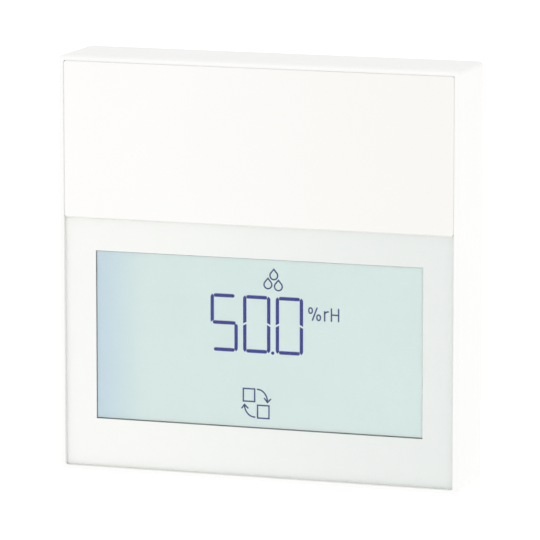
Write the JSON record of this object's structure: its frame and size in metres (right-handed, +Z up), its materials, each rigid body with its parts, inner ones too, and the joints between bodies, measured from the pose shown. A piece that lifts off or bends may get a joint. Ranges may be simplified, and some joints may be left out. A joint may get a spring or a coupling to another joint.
{
  "type": "room humidity sensor",
  "caption": "Flat square wall-mounted room humidity sensor with a blank upper panel, a backlit segment display below it and a pull-off cover over wire clamps.",
  "frame": {"origin": "on the wall plane, at the back plate's back face, midway between the two wall screws", "axes": "+X to the right seen from the room, +Z up, +Y into the wall, so the display faces -Y"},
  "size_m": [0.099, 0.02, 0.1],
  "materials": {
    "housing_white": "fine satin moulded plastic",
    "panel_white": "smooth satin moulded plastic",
    "lens_clear": "clear polished acrylic",
    "mask_white": "white printed film",
    "tape_grey": "foam tape",
    "film_clear": "clear film",
    "cell_glass": "display glass",
    "polariser": "polarising film",
    "diffuser": "satin diffusing film",
    "guide_clear": "clear polished acrylic",
    "reflector_white": "white reflecting film",
    "holder_white": "moulded plastic",
    "plate_white": "fine textured moulded plastic",
    "board_green": "solder mask over glass fibre",
    "zinc_steel": "zinc plated",
    "tinned_brass": "tinned brass",
    "terminal_grey": "moulded polyamide",
    "switch_red": "moulded plastic",
    "slider_white": "moulded plastic",
    "header_black": "moulded plastic",
    "chip_black": "moulded epoxy",
    "can_aluminium": "drawn can",
    "ferrite_grey": "sintered ferrite",
    "sensor_white": "sensor package",
    "filter_white": "moulded filter cap",
    "elastomer_grey": "layered elastomer",
    "lamp_white": "lamp package"
  },
  "bodies": {
    "base": {"back_plate": "plate_white", "snap_arms": "plate_white", "terminal_board": "board_green", "board_screws": "zinc_steel", "terminal_block": "terminal_grey", "terminal_pins": "tinned_brass", "dip_switch_body": "switch_red", "socket_header": "header_black", "humidity_sensor": "sensor_white", "sensor_filter_cap": "filter_white", "supply_capacitor": "can_aluminium", "supply_inductor": "ferrite_grey", "regulator": "chip_black", "output_driver": "chip_black"},
    "front_cover": {"cover_shell": "housing_white", "upper_panel": "panel_white", "panel_adhesive": "tape_grey", "display_lens": "lens_clear", "mask_film": "mask_white", "lens_adhesive": "tape_grey", "touch_film": "film_clear", "lcd_front_polariser": "polariser", "lcd_front_glass": "cell_glass", "lcd_rear_glass": "cell_glass", "lcd_rear_polariser": "polariser", "diffuser_film": "diffuser", "light_guide": "guide_clear", "reflector_sheet": "reflector_white", "led_strip": "lamp_white", "lcd_holder": "holder_white", "contact_strip": "elastomer_grey", "display_board": "board_green", "microcontroller": "chip_black", "pin_header": "header_black", "display_screws": "zinc_steel"},
    "clamp_screw_1": {"clamp_screw_1": "zinc_steel"},
    "clamp_screw_2": {"clamp_screw_2": "zinc_steel"},
    "clamp_screw_3": {"clamp_screw_3": "zinc_steel"},
    "clamp_screw_4": {"clamp_screw_4": "zinc_steel"},
    "clamp_screw_5": {"clamp_screw_5": "zinc_steel"},
    "clamp_screw_6": {"clamp_screw_6": "zinc_steel"},
    "clamp_cage_1": {"clamp_cage_1": "zinc_steel"},
    "clamp_cage_2": {"clamp_cage_2": "zinc_steel"},
    "clamp_cage_3": {"clamp_cage_3": "zinc_steel"},
    "clamp_cage_4": {"clamp_cage_4": "zinc_steel"},
    "clamp_cage_5": {"clamp_cage_5": "zinc_steel"},
    "clamp_cage_6": {"clamp_cage_6": "zinc_steel"},
    "dip_slider_1": {"dip_slider_1": "slider_white"},
    "dip_slider_2": {"dip_slider_2": "slider_white"},
    "dip_slider_3": {"dip_slider_3": "slider_white"},
    "dip_slider_4": {"dip_slider_4": "slider_white"}
  },
  "joints": [
    {"name": "cover_pull", "type": "slide", "parent": "base", "child": "front_cover", "axis": [0, -1, 0], "range_m": [0, 0.05], "deforming": ["snap_arms"]},
    {"name": "clamp_screw_turn_1", "type": "hinge", "parent": "base", "child": "clamp_screw_1", "pos_m": [-0.0125, -0.0139, 0.0124], "axis": [0, 1, 0], "range_deg": [0, 1760.1]},
    {"name": "clamp_cage_rise_1", "type": "slide", "parent": "base", "child": "clamp_cage_1", "axis": [0, -1, 0], "range_m": [0, 0.0022]},
    {"name": "clamp_screw_turn_2", "type": "hinge", "parent": "base", "child": "clamp_screw_2", "pos_m": [-0.0075, -0.0139, 0.0124], "axis": [0, 1, 0], "range_deg": [0, 1760.1]},
    {"name": "clamp_cage_rise_2", "type": "slide", "parent": "base", "child": "clamp_cage_2", "axis": [0, -1, 0], "range_m": [0, 0.0022]},
    {"name": "clamp_screw_turn_3", "type": "hinge", "parent": "base", "child": "clamp_screw_3", "pos_m": [-0.0025, -0.0139, 0.0124], "axis": [0, 1, 0], "range_deg": [0, 1760.1]},
    {"name": "clamp_cage_rise_3", "type": "slide", "parent": "base", "child": "clamp_cage_3", "axis": [0, -1, 0], "range_m": [0, 0.0022]},
    {"name": "clamp_screw_turn_4", "type": "hinge", "parent": "base", "child": "clamp_screw_4", "pos_m": [0.0025, -0.0139, 0.0124], "axis": [0, 1, 0], "range_deg": [0, 1760.1]},
    {"name": "clamp_cage_rise_4", "type": "slide", "parent": "base", "child": "clamp_cage_4", "axis": [0, -1, 0], "range_m": [0, 0.0022]},
    {"name": "clamp_screw_turn_5", "type": "hinge", "parent": "base", "child": "clamp_screw_5", "pos_m": [0.0075, -0.0139, 0.0124], "axis": [0, 1, 0], "range_deg": [0, 1760.1]},
    {"name": "clamp_cage_rise_5", "type": "slide", "parent": "base", "child": "clamp_cage_5", "axis": [0, -1, 0], "range_m": [0, 0.0022]},
    {"name": "clamp_screw_turn_6", "type": "hinge", "parent": "base", "child": "clamp_screw_6", "pos_m": [0.0125, -0.0139, 0.0124], "axis": [0, 1, 0], "range_deg": [0, 1760.1]},
    {"name": "clamp_cage_rise_6", "type": "slide", "parent": "base", "child": "clamp_cage_6", "axis": [0, -1, 0], "range_m": [0, 0.0022]},
    {"name": "dip_slider_slide_1", "type": "slide", "parent": "base", "child": "dip_slider_1", "axis": [0, 0, 1], "range_m": [0, 0.0018]},
    {"name": "dip_slider_slide_2", "type": "slide", "parent": "base", "child": "dip_slider_2", "axis": [0, 0, 1], "range_m": [0, 0.0018]},
    {"name": "dip_slider_slide_3", "type": "slide", "parent": "base", "child": "dip_slider_3", "axis": [0, 0, 1], "range_m": [0, 0.0018]},
    {"name": "dip_slider_slide_4", "type": "slide", "parent": "base", "child": "dip_slider_4", "axis": [0, 0, 1], "range_m": [0, 0.0018]}
  ],
  "couplings": [
    {"joint": "clamp_screw_turn_1", "follows": "clamp_cage_rise_1", "rad_per_m": 13963},
    {"joint": "clamp_screw_turn_2", "follows": "clamp_cage_rise_2", "rad_per_m": 13963},
    {"joint": "clamp_screw_turn_3", "follows": "clamp_cage_rise_3", "rad_per_m": 13963},
    {"joint": "clamp_screw_turn_4", "follows": "clamp_cage_rise_4", "rad_per_m": 13963},
    {"joint": "clamp_screw_turn_5", "follows": "clamp_cage_rise_5", "rad_per_m": 13963},
    {"joint": "clamp_screw_turn_6", "follows": "clamp_cage_rise_6", "rad_per_m": 13963}
  ]
}
